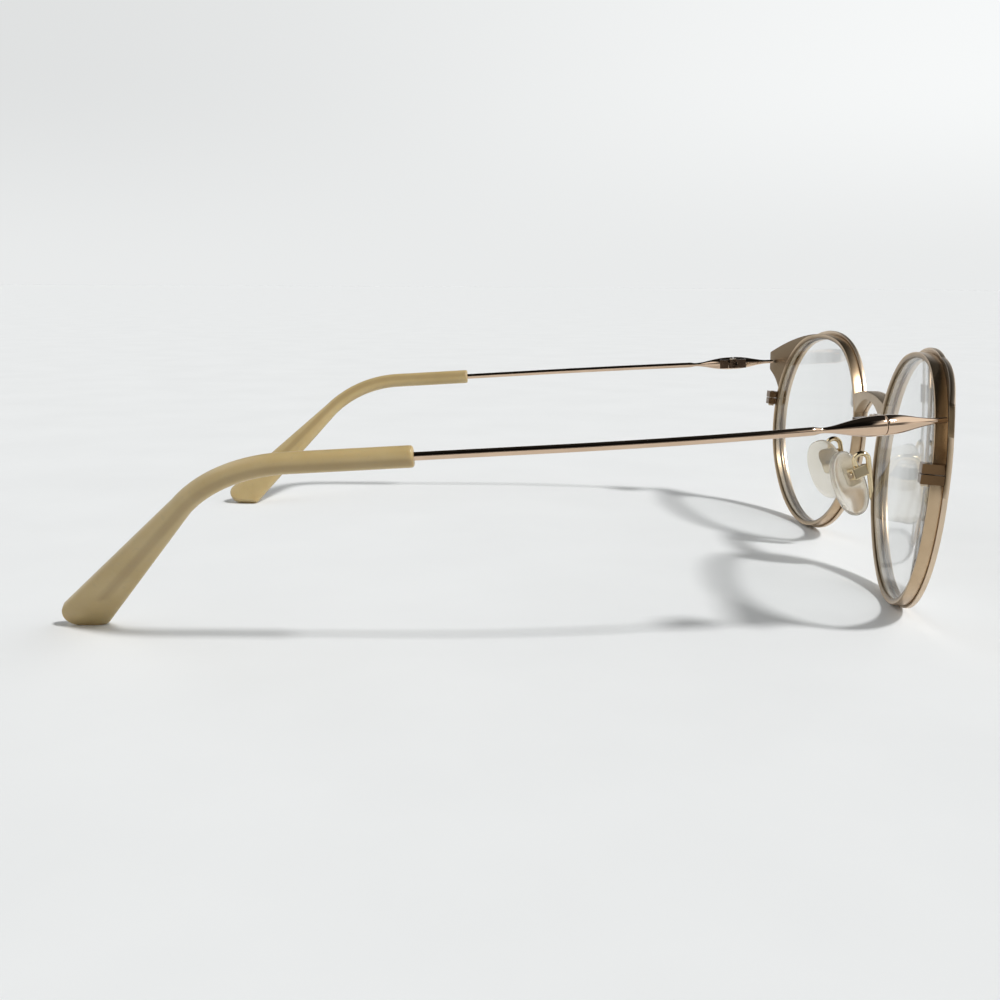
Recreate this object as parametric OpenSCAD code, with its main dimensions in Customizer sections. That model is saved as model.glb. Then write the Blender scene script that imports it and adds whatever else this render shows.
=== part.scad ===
// Round wire eyeglasses: a thin pressed front sheet with slim rim wires behind it,
// spindle shaped hinge barrels, wire temples and flared soft plastic tips.
// Millimetres. The glasses stand open on the rim bottoms and the tip ends at z = 0.
// +X is the wearer's left, the front faces -Y and the temples run towards +Y.

/* [Rims] */
// Width of one rim wire, outside to outside
rim_width = 50.6; // [44:0.2:54]
// Height of the rim wire above the lens centre
rim_top = 21.5; // [20.8:0.1:23]
// Depth of the rim wire below the lens centre
rim_bottom = 22; // [21.2:0.1:25]
// Radius of the rim wire's rounded sides
rim_side_radius = 20.2; // [18:0.2:20.4]
// How far the side curves sit above the lens centre
rim_side_rise = 0.8; // [0:0.1:2]
// Distance between the two lens centres
lens_spacing = 67.4; // [64:0.2:74]
// How far each side wraps back, in degrees
wrap = 6.9; // [2:0.1:9]
// How far the rim bottoms tuck in under the tops, in degrees
lens_tilt = 3.8; // [0:0.1:8]
// Radius of the curve that the lenses and the front sheet follow
base_radius = 126; // [100:1:180]

/* [Rim wires and lenses] */
// Thickness of the rim wire seen from the front
wire_width = 1; // [0.8:0.05:1.4]
// Depth of the rim wire, front to back
wire_depth = 2; // [1.7:0.1:2.6]
// Thickness of the lens at its edge
lens_thickness = 1.2; // [0.9:0.1:1.3]
// How far the lens edge goes into the rim wire
lens_bite = 0.45; // [0.3:0.05:0.55]
// Height of the cut in the rim wire between the two lock blocks
slit_height = 0.14; // [0.08:0.02:0.3]

/* [Front sheet] */
// Thickness of the front sheet
sheet_thickness = 0.8; // [0.6:0.05:1.1]
// How far the sheet reaches outside the rim wire at the sides
sheet_lip = 0.45; // [0.2:0.05:0.8]
// How far the sheet reaches above the rim wire
sheet_brow = 0.9; // [0.5:0.05:1.4]
// Distance from the lens centre to the flat end of the temple corner
corner_reach = 32; // [30.5:0.1:34]
// Height of the flat end of the temple corner
corner_height = 4.3; // [3.2:0.1:5.5]
// Height of the middle of that flat end above the lens centre
corner_rise = 13.4; // [12:0.1:14.5]

/* [Bridge] */
// Height of the top of the bridge above the lens centre
bridge_rise = 11.9; // [9:0.1:14]
// Thickness of the bridge at the middle, top to bottom
bridge_thickness = 1.65; // [1.2:0.05:2.4]
// Radius of the opening under the bridge
bridge_under_radius = 13; // [10.5:0.5:16]
// Radius of the top of the bridge
bridge_top_radius = 40; // [25:1:80]
// Depth of the bridge behind the sheet
bridge_depth = 2; // [1.4:0.1:2.6]

/* [Lock blocks] */
// Height of the split between the lock blocks above the lens centre
lock_rise = 4.6; // [2:0.2:7]
// Height of one lock block
lock_height = 1.5; // [1.2:0.05:2]
// Width of the lock blocks
lock_width = 2.3; // [2:0.1:3]
// Depth of the lock blocks, front to back
lock_depth = 3.8; // [3.4:0.1:4.6]
// Diameter of the lock screw's shaft
lock_screw = 0.8; // [0.6:0.05:1]
// Diameter of the lock screw's head
lock_head = 1.3; // [1.1:0.05:1.5]

/* [Hinges] */
// Distance of the hinge split from the middle plane
hinge_x = 64.7; // [63:0.1:67]
// Distance of the hinge split behind the frame's corner line
hinge_y = 9.2; // [8:0.1:11]
// Height of the hinge split above the lens centre
hinge_rise = 13; // [12:0.1:14]
// How far the hinge barrels point outwards, in degrees
barrel_splay = 11; // [6:0.5:13]
// How far the temples slope down towards the back, in degrees
temple_slope = 3.7; // [2:0.1:5.5]
// Diameter of the barrels at the split
barrel_diameter = 3.06; // [2.6:0.02:3.4]
// Width of the gap at the split
split_gap = 0.1; // [0.06:0.02:0.2]
// Length of the front barrel's taper
front_taper = 8.5; // [7:0.1:9]
// Diameter of the thin root that meets the sheet
root_diameter = 0.86; // [0.7:0.02:1.2]
// Length of the rear barrel's taper
rear_taper = 9.5; // [8:0.1:11]
// Diameter of the thin neck behind the rear barrel
neck_diameter = 0.84; // [0.7:0.02:1.1]
// Height of the knuckle stack
knuckle_stack = 2.1; // [1.9:0.05:2.5]
// Outside diameter of a knuckle
knuckle_diameter = 2; // [1.8:0.05:2.2]
// Diameter of the hinge screw's shaft
hinge_screw = 0.9; // [0.7:0.05:1]
// Running clearance around the hinge screw
screw_clearance = 0.05; // [0.03:0.01:0.08]
// Diameter of the hinge screw's head
hinge_head = 1.6; // [1.4:0.05:1.8]

/* [Temples] */
// Diameter of the temple wire
temple_wire = 1.25; // [1.1:0.05:1.6]
// Radius of the long outward bow of the wire
bow_radius = 194; // [150:1:300]
// Angle of the bow, in degrees
bow_angle = 11.2; // [6:0.1:13]
// Length of the straight part between the bow and the ear bend
straight_length = 37.8; // [30:0.1:44]
// Radius of the ear bend
ear_radius = 23.5; // [18:0.5:30]
// Angle of the ear bend, in degrees
ear_bend = 46.8; // [38:0.2:52]
// How far the ear bend leans inwards, in degrees
ear_lean = 32.8; // [15:0.2:36]

/* [Tips] */
// Length of the tip in front of the ear bend
tip_front = 18.4; // [14:0.1:24]
// Height of the tip's section
tip_height = 3.4; // [3.1:0.05:4]
// Thickness of the tip's section
tip_thickness = 2.7; // [2.4:0.05:3]
// Width of the flared end
tip_flare = 7.6; // [5.5:0.1:8.5]
// Thickness of the flared end
tip_end_thickness = 2.4; // [2:0.05:2.6]
// Radius of the large corner at the far end
tip_round = 2.6; // [2:0.1:2.8]
// Radius of the small corner at the near end
heel_round = 0.8; // [0.7:0.05:1.2]
// Length of the metal core below the ear bend
core_length = 26; // [15:0.5:28]
// Clearance between the core and its bore
core_clearance = 0.05; // [0.02:0.01:0.1]

/* [Nose pads] */
// Length of a nose pad
pad_length = 13; // [11:0.2:15]
// Width of a nose pad
pad_width = 7.2; // [6:0.1:8.4]
// Thickness of a nose pad
pad_thickness = 2.4; // [1.9:0.1:3]
// Thickness of a nose pad at its edge
pad_edge = 0.8; // [0.6:0.05:1.2]
// Gap between the pad and its box
pad_standoff = 0.75; // [0.6:0.05:1]
// Distance of the pad screw from the plane of the rim wire's innermost point
pad_x = 1.9; // [1.2:0.1:3.1]
// Distance of the pad screw behind the sheet, at the foot of the pad arm
pad_y = 4.7; // [4.3:0.1:5.6]
// Height of the pad screw below the lens centre
pad_drop = 2.6; // [1:0.1:5]
// Lean of the pads, top towards the back, in degrees
pad_lean = 18; // [8:1:26]
// Slant of the pads, tops closer together, in degrees
pad_slant = 12; // [4:1:16]
// Splay of the pads, back edges further apart, in degrees
pad_splay = 20; // [8:1:26]
// Diameter of the pad arm wire
arm_diameter = 1; // [0.8:0.05:1.2]
// Length of the straight upright of the pad arm
arm_upright = 7.6; // [6.8:0.1:8]
// Radius of the loop at the top of the pad arm
loop_radius = 1.35; // [1.2:0.05:1.5]
// Diameter of the pad screw's shaft
pad_screw_diameter = 0.7; // [0.6:0.05:0.8]
// Diameter of the eye on the back of a nose pad
pad_eye = 1.24; // [1.1:0.02:1.3]
// Length of the pad box, along the pad's thickness
box_length = 2; // [1.8:0.05:2.3]
// Width of the pad box, along its screw
box_width = 3.6; // [3.2:0.1:4]
// Height of the pad box
box_height = 2.2; // [2:0.05:2.6]
// Thickness of the pad box's walls
box_wall = 0.25; // [0.18:0.01:0.3]
// Play around the pad's eye in the box
eye_play = 0.13; // [0.1:0.01:0.2]

/* [Hidden] */
$fn = 72;
fit = 0.01;
layer_gap = 0.02;
lens_clearance = 0.05;
lap = 0.3;
step = 0.01;

// Depths behind the curved front surface
wire_front = sheet_thickness + layer_gap;
wire_back = wire_front + wire_depth;
wire_middle = (wire_front + wire_back) / 2;
lens_front = wire_middle - lens_thickness / 2;
lens_back = wire_middle + lens_thickness / 2;

// Lens centre, with the sheet's lowest point on the ground
lens_x = lens_spacing / 2;
lens_y = -8.63;
sheet_bottom = rim_bottom + 0.4;
bottom_sag = base_radius - sqrt(pow(base_radius, 2) - pow(sheet_bottom, 2));
lens_z = sheet_bottom * cos(lens_tilt) - bottom_sag * sin(lens_tilt);

// Shift that brings the middle of the depth over the origin
centre_shift = -63.087;

// Place of the lock screw, in the lens frame
lock_u = rim_width / 2 + 0.15;
lock_sag = base_radius - sqrt(pow(base_radius, 2) - pow(lock_u, 2));
lock_front = -lock_sag - wire_front - 0.05;
lock_screw_w = lock_front - lock_depth + 0.95;

// Hinge
hinge_z = lens_z + hinge_rise;
barrel_radius = barrel_diameter / 2;
knuckle_radius = knuckle_diameter / 2;
axis_offset = barrel_radius + knuckle_radius + 0.12;
knuckle_gap = 0.05;
middle_knuckle = knuckle_stack / 3;
head_height = 0.25;
leaf_start = knuckle_radius + 0.15;
leaf_end = leaf_start + 2.05;
neck_end = rear_taper + 1.5;

// Nose pad: the box's closed side, the width of the pad's eye and the back of the pad
box_back = pad_eye / 2 + eye_play + box_wall;
eye_width = 2;
plate_back = box_back - box_length - pad_standoff;

// Pad arm, in its own plane: the run from the loop down into the box, and the height and the
// reach from the start of the foot bend to the end of that run
foot_radius = 0.9;
foot_angle = 80;
loop_angle = 190;
loop_end = foot_angle + 90 - loop_angle;
arm_drop = 2;
arm_rise = foot_radius * (1 - cos(foot_angle)) + arm_upright * sin(foot_angle)
    - loop_radius * cos(foot_angle) + loop_radius * sin(loop_end) - arm_drop * cos(loop_end);
arm_reach = foot_radius * sin(foot_angle) + arm_upright * cos(foot_angle)
    + loop_radius * sin(foot_angle) + loop_radius * cos(loop_end) + arm_drop * sin(loop_end);

// Foot of the pad arm: on the back of the sheet, just beside the rim wire
foot_v = -(pad_drop + arm_rise + 0.22);
foot_aside = arm_diameter / 2 + 0.1;
foot_u = rim_side_radius - rim_width / 2
    - sqrt(pow(rim_side_radius, 2) - pow(foot_v - rim_side_rise, 2)) - foot_aside;
foot = lens_point(foot_u, foot_v, sheet_thickness);
foot_sink = 0.2;
pad_place = [lens_x - rim_width / 2 + pad_x, foot[1] + pad_y, lens_z - pad_drop];
foot_bar = pad_y + foot_sink + 0.22 - arm_reach;
arm_twist = atan((pad_place[0] - foot[0]) / arm_rise);

// Ear bend: position along the temple and slopes in the leaning plane
bend_y = neck_end + bow_radius * sin(bow_angle) + straight_length * cos(bow_angle);
bend_x = -bow_radius * (1 - cos(bow_angle)) - straight_length * sin(bow_angle);
slope_along = sin(temple_slope) * cos(bow_angle);
slope_up = cos(temple_slope) * cos(ear_lean) - sin(temple_slope) * sin(bow_angle) * sin(ear_lean);
blade_y = ear_radius * sin(ear_bend);
blade_z = -ear_radius * (1 - cos(ear_bend));
blade_top = hinge_z - sin(temple_slope) * bend_y - slope_along * blade_y + slope_up * blade_z;
fall_along = slope_along * cos(ear_bend) + slope_up * sin(ear_bend);
fall_across = slope_up * cos(ear_bend) - slope_along * sin(ear_bend);
blade_slope = sqrt(pow(fall_along, 2) + pow(fall_across, 2));
end_edge = 0.45;

// Point of the lens frame at (u, v), at a depth behind the curved front
function lens_w(u, v, depth) = sqrt(pow(base_radius - depth, 2) - u * u - v * v) - base_radius;
function lens_back(v, w) = -v * sin(lens_tilt) - w * cos(lens_tilt);
function lens_point(u, v, depth) = [
    lens_x + u * cos(wrap) - lens_back(v, lens_w(u, v, depth)) * sin(wrap),
    lens_y + u * sin(wrap) + lens_back(v, lens_w(u, v, depth)) * cos(wrap),
    lens_z + v * cos(lens_tilt) - lens_w(u, v, depth) * sin(lens_tilt)];
// Radius of a large arc that meets a side circle without a kink, t above the side circle's centre
function joining_radius(e, r, t) = (e * e + t * t - r * r) / (2 * (t - r));
// Point on a curve from a to c that bends towards b
function curve3(a, b, c, t) = (1 - t) * (1 - t) * a + 2 * t * (1 - t) * b + t * t * c;
// Radius along a spindle, from the full radius at t = 0 to the thin end at t = 1
function spindle(full, thin, t, power) = thin + (full - thin) * (1 + cos(180 * pow(t, power))) / 2;

// Closed outline made of two side circles and two large arcs
module four_arc(half, side, rise, top, bottom) {
    e = half - side;
    rt = joining_radius(e, side, top - rise);
    rb = joining_radius(e, side, bottom + rise);
    ct = top - rt;
    cb = rb - bottom;
    tx = e * rt / (rt - side);
    ty = ct + (rise - ct) * rt / (rt - side);
    bx = e * rb / (rb - side);
    by = cb + (rise - cb) * rb / (rb - side);
    // The side circles are a touch proud, so that they cross the large arcs cleanly
    for (s = [-1, 1])
        translate([s * e, rise])
            circle(r = side * 1.001);
    intersection() {
        translate([0, ct])
            circle(r = rt);
        translate([0, cb])
            circle(r = rb);
        polygon([[tx, ty], [tx, top + 5], [-tx, top + 5], [-tx, ty],
            [-bx, by], [-bx, -bottom - 5], [bx, -bottom - 5], [bx, by]]);
    }
}

// Outline of the rim wire, grown by g
module rim_outline(g) {
    four_arc(rim_width / 2 + g, rim_side_radius + g, rim_side_rise, rim_top + g, rim_bottom + g);
}

// Outline of the front sheet round one lens, with its temple corner
module sheet_outline() {
    half = rim_width / 2 + sheet_lip;
    top = rim_top + sheet_brow;
    high = corner_rise + corner_height / 2;
    low = corner_rise - corner_height / 2;
    low_x = half + (corner_reach - half) / 4;
    four_arc(half, rim_side_radius + 0.4, rim_side_rise, top, rim_bottom + 0.4);
    polygon(concat(
        [[0, 0], [0, top - 1]],
        [for (i = [0 : 10]) curve3([8, top - 1.05], [20, top - 1.7], [corner_reach - 0.3, high], i / 10)],
        [for (i = [0 : 8]) curve3([corner_reach, low], [low_x, low - 3], [half - 0.1, 0.5], i / 8)]));
}

// One layer that follows the curved front, from depth a to depth b
module curved_layer(a, b) {
    intersection() {
        translate([0, 0, -14])
            linear_extrude(height = 16)
                children();
        difference() {
            translate([0, 0, -base_radius])
                rotate([90, 0, 0])
                    sphere(r = base_radius - a, $fn = 180);
            translate([0, 0, -base_radius])
                rotate([90, 0, 0])
                    sphere(r = base_radius - b, $fn = 180);
        }
    }
}

// Everything in front of the sheet's back
module sheet_cut() {
    curved_layer(-2, sheet_thickness + fit)
        square(2 * rim_width, center = true);
}

module on_lens() {
    translate([lens_x, lens_y, lens_z])
        rotate([0, 0, wrap])
            rotate([90 + lens_tilt, 0, 0])
                children();
}

module at_hinge() {
    translate([hinge_x, hinge_y, hinge_z])
        rotate([-temple_slope, 0, -barrel_splay])
            children();
}

module at_pad() {
    translate(pad_place)
        rotate([-pad_lean, -pad_slant, -pad_splay])
            children();
}

// Centres the whole part over the origin
module left() {
    translate([0, centre_shift, 0])
        children();
}

module right() {
    translate([0, centre_shift, 0])
        mirror([1, 0, 0])
            children();
}

// Front view of the bridge, drawn upright
module bridge_outline() {
    blank = lens_spacing - rim_width + 9.2;
    difference() {
        intersection() {
            translate([0, lens_z + bridge_rise - bridge_top_radius])
                circle(r = bridge_top_radius);
            translate([-blank / 2, lens_z + bridge_rise - 9])
                square([blank, 10]);
        }
        translate([0, lens_z + bridge_rise - bridge_thickness - bridge_under_radius])
            circle(r = bridge_under_radius);
    }
}

// Bridge outline as a block from y = a to y = b
module bridge_block(a, b) {
    translate([0, b, 0])
        rotate([90, 0, 0])
            linear_extrude(height = b - a)
                bridge_outline();
}

module front_plate() {
    sheet_front = lens_y - 0.9;
    color([0.8, 0.71, 0.56])
        left()
            difference() {
                union() {
                    for (s = [0, 1])
                        mirror([s, 0, 0])
                            on_lens()
                                curved_layer(0, sheet_thickness)
                                    sheet_outline();
                    bridge_block(sheet_front, sheet_front + sheet_thickness);
                }
                for (s = [0, 1])
                    mirror([s, 0, 0])
                        on_lens()
                            translate([0, 0, -14])
                                linear_extrude(height = 20)
                                    rim_outline(-wire_width);
            }
}

module bridge() {
    back_of_sheet = lens_y - 0.9 + sheet_thickness + fit;
    color([0.5, 0.45, 0.38])
        left()
            difference() {
                bridge_block(back_of_sheet, back_of_sheet + bridge_depth);
                for (s = [0, 1])
                    mirror([s, 0, 0])
                        on_lens() {
                            curved_layer(-2, sheet_thickness + fit)
                                sheet_outline();
                            translate([0, 0, -14])
                                linear_extrude(height = 20)
                                    rim_outline(fit);
                        }
            }
}

module eyewire() {
    color([0.72, 0.58, 0.38])
        on_lens()
            difference() {
                curved_layer(wire_front, wire_back)
                    difference() {
                        rim_outline(0);
                        rim_outline(-wire_width);
                    }
                curved_layer(lens_front - lens_clearance, lens_back + lens_clearance)
                    rim_outline(lens_bite + lens_clearance - wire_width);
                translate([15, lock_rise - slit_height / 2, -14])
                    cube([20, slit_height, 20]);
            }
}

module lens() {
    color([0.92, 0.94, 0.95, 0.3])
        on_lens()
            curved_layer(lens_front, lens_back)
                rim_outline(lens_bite - wire_width);
}

// One lock block: side 1 is above the split and side -1 below it
module lock_block(side) {
    low = side > 0 ? slit_height / 2 : -slit_height / 2 - lock_height;
    color([0.66, 0.53, 0.36])
        on_lens()
            difference() {
                translate([lock_u - 1, lock_rise + low, lock_front - lock_depth])
                    cube([lock_width, lock_height, lock_depth]);
                curved_layer(-2, wire_back + fit)
                    rim_outline(fit);
                sheet_cut();
                translate([lock_u, lock_rise - 5, lock_screw_w])
                    rotate([-90, 0, 0])
                        cylinder(d = lock_screw + 2 * fit, h = 10, $fn = 48);
            }
}

module lock_bolt() {
    tail = lock_rise - slit_height / 2 - lock_height;
    top = lock_rise + slit_height / 2 + lock_height;
    color([0.75, 0.68, 0.55])
        on_lens()
            difference() {
                union() {
                    translate([lock_u, tail - 0.1, lock_screw_w])
                        rotate([-90, 0, 0])
                            cylinder(d = lock_screw, h = top - tail + 0.2, $fn = 48);
                    translate([lock_u, tail - fit - 0.4, lock_screw_w])
                        rotate([-90, 0, 0])
                            cylinder(d = lock_head, h = 0.4, $fn = 48);
                }
                translate([lock_u - 1, tail - 0.6, lock_screw_w - 0.1])
                    cube([2, 0.35, 0.2]);
            }
}

// Pad arm: a foot beside the rim wire, an upright and a loop over to the pad box
module arm_wire() {
    translate([foot[0], foot[1] - foot_sink, foot[2]])
        rotate([0, arm_twist, 0]) {
            bar(foot_bar + lap)
                circle(d = arm_diameter + 2 * step, $fn = 40);
            translate([0, foot_bar, 0])
                rotate([0, 180, 0])
                    bend(foot_radius, foot_angle)
                        circle(d = arm_diameter, $fn = 40);
            translate([0, foot_bar + foot_radius * sin(foot_angle), foot_radius * (1 - cos(foot_angle))])
                rotate([foot_angle, 0, 0]) {
                    translate([0, -lap, 0])
                        bar(arm_upright + 2 * lap)
                            circle(d = arm_diameter + 2 * step, $fn = 40);
                    translate([0, arm_upright, 0])
                        bend(loop_radius, loop_angle)
                            circle(d = arm_diameter, $fn = 40);
                    translate([0, arm_upright + loop_radius * sin(loop_angle),
                        -loop_radius * (1 - cos(loop_angle))])
                        rotate([-loop_angle, 0, 0])
                            translate([0, -lap, 0])
                                bar(arm_drop + lap)
                                    circle(d = arm_diameter + 2 * step, $fn = 40);
                }
        }
}

module pad_arm() {
    color([0.78, 0.66, 0.46])
        difference() {
            arm_wire();
            on_lens() {
                curved_layer(-2, wire_back + fit)
                    rim_outline(fit);
                sheet_cut();
            }
            at_pad()
                box_block(fit);
        }
}

// Solid outside of the pad box, grown by g
module box_block(g) {
    translate([box_back - box_length - g, -box_width / 2 - g, -box_height / 2 - g])
        cube([box_length + 2 * g, box_width + 2 * g, box_height + 2 * g]);
}

module pad_box() {
    color([0.85, 0.77, 0.6])
        at_pad()
            difference() {
                box_block(0);
                translate([box_back - box_wall - box_length, -eye_width / 2 - eye_play,
                    box_wall - box_height / 2])
                    cube([box_length, eye_width + 2 * eye_play, box_height - 2 * box_wall]);
                rotate([90, 0, 0])
                    cylinder(d = pad_screw_diameter + 2 * fit, h = 6, center = true, $fn = 48);
            }
}

module pad_bolt() {
    color([0.8, 0.74, 0.62])
        at_pad()
            difference() {
                union() {
                    translate([0, 2, 0])
                        rotate([90, 0, 0])
                            cylinder(d = pad_screw_diameter, h = 3.9, $fn = 48);
                    translate([0, 2.2, 0])
                        rotate([90, 0, 0])
                            cylinder(d = 1.3, h = 0.39, $fn = 48);
                }
                translate([-1, 2.05, -0.1])
                    cube([2, 0.3, 0.2]);
            }
}

// Oval pad, flat behind, that closes in towards its domed face
module pad_plate() {
    end_radius = pad_width * 0.37;
    hull()
        for (angle = [-30 : 22 : 80]) {
            inset = pad_width * 0.3 * (1 - cos(angle));
            rise = angle < 0 ? 0 : pad_edge + (pad_thickness - pad_edge - 0.05) * sin(angle);
            translate([0, 0, rise])
                linear_extrude(height = 0.05)
                    for (k = [-1, 0, 1])
                        translate([k * (pad_length / 2 - end_radius), 0])
                            circle(r = (k == 0 ? pad_width / 2 : end_radius) - inset, $fn = 40);
        }
}

module nose_pad() {
    color([0.9, 0.88, 0.82, 0.55])
        at_pad()
            difference() {
                union() {
                    translate([plate_back, 1.2, -1.8])
                        rotate([0, -90, 0])
                            pad_plate();
                    translate([plate_back - 0.25, -eye_width / 2, 0.04 - pad_eye / 2])
                        cube([0.25 - plate_back, eye_width, pad_eye - 0.08]);
                    rotate([90, 0, 0])
                        cylinder(d = pad_eye, h = eye_width, center = true, $fn = 60);
                }
                rotate([90, 0, 0])
                    cylinder(d = pad_screw_diameter + 0.1, h = 2.4, center = true, $fn = 48);
            }
}

// Turned spindle along +z: full radius at 0, thin radius from the end of the taper onwards
module spindle_solid(thin, taper, power, reach, g) {
    rotate_extrude($fn = 72)
        polygon(concat(
            [[0, split_gap / 2 - g]],
            [[barrel_radius + g, split_gap / 2 - g]],
            [for (i = [1 : 14]) [spindle(barrel_radius, thin, i / 14, power) + g, taper * i / 14]],
            [[thin + g, reach], [0, reach]]));
}

module endpiece() {
    color([0.8, 0.62, 0.5])
        intersection() {
            at_hinge()
                rotate([90, 0, 0])
                    spindle_solid(root_diameter / 2, front_taper, 1.1, 12, 0);
            on_lens()
                translate([0, 0, -base_radius])
                    rotate([90, 0, 0])
                        sphere(r = base_radius - sheet_thickness - fit, $fn = 180);
        }
}

// Leaf and knuckles at one side of the split: side -1 is the front half and 1 the temple half
module leaf_plan(side, far) {
    translate([-axis_offset, 0])
        circle(d = knuckle_diameter, $fn = 60);
    translate([-axis_offset - 0.7, side > 0 ? 0 : -far])
        square([axis_offset - 0.1, far]);
}

module knuckle_bore(g) {
    translate([-axis_offset, 0, -4])
        cylinder(d = hinge_screw + 2 * g, h = 8, $fn = 60);
}

// Upper and lower knuckles of the front half
module front_leaf() {
    k = knuckle_stack / 2;
    m = middle_knuckle / 2;
    color([0.74, 0.6, 0.48])
        at_hinge()
            difference() {
                union() {
                    translate([0, 0, m + knuckle_gap])
                        linear_extrude(height = k - m - knuckle_gap)
                            leaf_plan(-1, leaf_end);
                    translate([0, 0, -k])
                        linear_extrude(height = k - m - knuckle_gap)
                            leaf_plan(-1, leaf_end);
                    translate([-axis_offset - 0.7, -leaf_end, -k])
                        cube([axis_offset - 0.1, leaf_end - leaf_start, 2 * k]);
                }
                rotate([90, 0, 0])
                    spindle_solid(root_diameter / 2, front_taper, 1.1, 12, fit);
                translate([-axis_offset + knuckle_radius, -split_gap / 2, -2])
                    cube([3, 2, 4]);
                knuckle_bore(screw_clearance);
            }
}

// Middle knuckle of the temple half
module temple_leaf() {
    k = knuckle_stack / 2;
    color([0.74, 0.6, 0.48])
        at_hinge()
            difference() {
                union() {
                    translate([0, 0, -middle_knuckle / 2])
                        linear_extrude(height = middle_knuckle)
                            leaf_plan(1, leaf_end);
                    translate([-axis_offset - 0.7, leaf_start, -k])
                        cube([axis_offset - 0.1, leaf_end - leaf_start, 2 * k]);
                }
                rotate([-90, 0, 0])
                    spindle_solid(neck_diameter / 2, rear_taper, 1.35, 12, fit);
                knuckle_bore(screw_clearance);
            }
}

module hinge_bolt() {
    k = knuckle_stack / 2;
    color([0.78, 0.68, 0.58])
        at_hinge()
            translate([-axis_offset, 0, 0])
                difference() {
                    union() {
                        translate([0, 0, -k - 0.1])
                            cylinder(d = hinge_screw, h = 2 * k + 0.2, $fn = 60);
                        translate([0, 0, k + fit])
                            cylinder(d = hinge_head, h = head_height, $fn = 60);
                    }
                    translate([-1, -0.12, k + fit + head_height - 0.12])
                        cube([2, 0.24, 0.3]);
                }
}

// Moves to the start of the ear bend, with the bend running down towards -z
module before_bend() {
    translate([bend_x, bend_y, 0])
        rotate([0, 0, bow_angle])
            rotate([0, ear_lean, 0])
                children();
}

module after_bend() {
    before_bend()
        translate([0, blade_y, blade_z])
            rotate([-ear_bend, 0, 0])
                children();
}

// Straight and bent bars with a given section, running along +y
module bar(length) {
    translate([0, length, 0])
        rotate([90, 0, 0])
            linear_extrude(height = length)
                children();
}

module bend(radius, angle) {
    translate([0, 0, -radius])
        rotate([0, -90, 0])
            rotate_extrude(angle = angle, $fn = 180)
                translate([radius, 0])
                    rotate([0, 0, 90])
                        children();
}

// Wire from the end of the bow through the ear bend into the tip. Straight parts lap a little
// way over the bent ones and are a hair thicker, so that every joint is solid.
module core(d, start, below) {
    before_bend()
        translate([0, -start - lap, 0])
            bar(start + 2 * lap)
                circle(d = d + 2 * step, $fn = 48);
    before_bend()
        bend(ear_radius, ear_bend)
            circle(d = d, $fn = 48);
    after_bend()
        translate([0, -lap, 0])
            bar(below + lap)
                circle(d = d + 2 * step, $fn = 48);
}

module temple() {
    color([0.8, 0.62, 0.5])
        at_hinge() {
            rotate([-90, 0, 0])
                rotate_extrude($fn = 72)
                    polygon(concat(
                        [[0, split_gap / 2], [barrel_radius, split_gap / 2]],
                        [for (i = [1 : 14])
                            [spindle(barrel_radius, neck_diameter / 2, i / 14, 1.35), rear_taper * i / 14]],
                        [[temple_wire / 2 + step, neck_end], [temple_wire / 2 + step, neck_end + lap],
                            [0, neck_end + lap]]));
            translate([-bow_radius, neck_end, 0])
                rotate_extrude(angle = bow_angle, $fn = 360)
                    translate([bow_radius, 0])
                        circle(d = temple_wire, $fn = 48);
            core(temple_wire, straight_length, core_length);
        }
}

// Corner of the flared end, with a softened rim, touching the ground. Side 1 is the far corner.
module end_corner(radius, side) {
    offset_up = side * (tip_flare / 2 - radius);
    lift = radius * blade_slope + (tip_end_thickness / 2 - end_edge) * sqrt(1 - pow(blade_slope, 2));
    translate([0, (blade_top - lift + fall_across * offset_up) / fall_along, offset_up])
        rotate([0, 90, 0])
            for (s = [0, end_edge])
                cylinder(r = radius - s, h = tip_end_thickness - 2 * (end_edge - s), center = true, $fn = 48);
}

module tip_section(g) {
    rotate([0, 0, 90])
        four_arc(tip_height / 2 + g, tip_thickness * 0.36 + g, 0,
            tip_thickness / 2 + g, tip_thickness / 2 + g);
}

module tip() {
    color([0.78, 0.7, 0.55])
        at_hinge()
            difference() {
                union() {
                    before_bend()
                        translate([0, -tip_front, 0])
                            bar(tip_front + lap)
                                tip_section(3 * step);
                    before_bend()
                        bend(ear_radius, ear_bend)
                            tip_section(0);
                    after_bend()
                        hull() {
                            translate([0, -lap, 0])
                                bar(0.1)
                                    tip_section(4 * step, $fn = 40);
                            end_corner(tip_round, 1);
                            end_corner(heel_round, -1);
                        }
                }
                core(temple_wire + 2 * core_clearance, tip_front + 1, core_length + 0.3);
            }
}

front_plate();
bridge();
left() eyewire();  // left_eyewire
right() eyewire();  // right_eyewire
left() lens();  // left_lens
right() lens();  // right_lens
left() lock_block(1);  // left_lock_upper
right() lock_block(1);  // right_lock_upper
left() lock_block(-1);  // left_lock_lower
right() lock_block(-1);  // right_lock_lower
left() lock_bolt();  // left_lock_screw
right() lock_bolt();  // right_lock_screw
left() pad_arm();  // left_pad_arm
right() pad_arm();  // right_pad_arm
left() pad_box();  // left_pad_box
right() pad_box();  // right_pad_box
left() pad_bolt();  // left_pad_screw
right() pad_bolt();  // right_pad_screw
left() nose_pad();  // left_nose_pad
right() nose_pad();  // right_nose_pad
left() endpiece();  // left_endpiece
right() endpiece();  // right_endpiece
left() front_leaf();  // left_front_leaf
right() front_leaf();  // right_front_leaf
left() hinge_bolt();  // left_hinge_screw
right() hinge_bolt();  // right_hinge_screw
left() temple_leaf();  // left_temple_leaf
right() temple_leaf();  // right_temple_leaf
left() temple();  // left_temple
right() temple();  // right_temple
left() tip();  // left_tip
right() tip();  // right_tip
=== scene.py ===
import math

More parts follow.
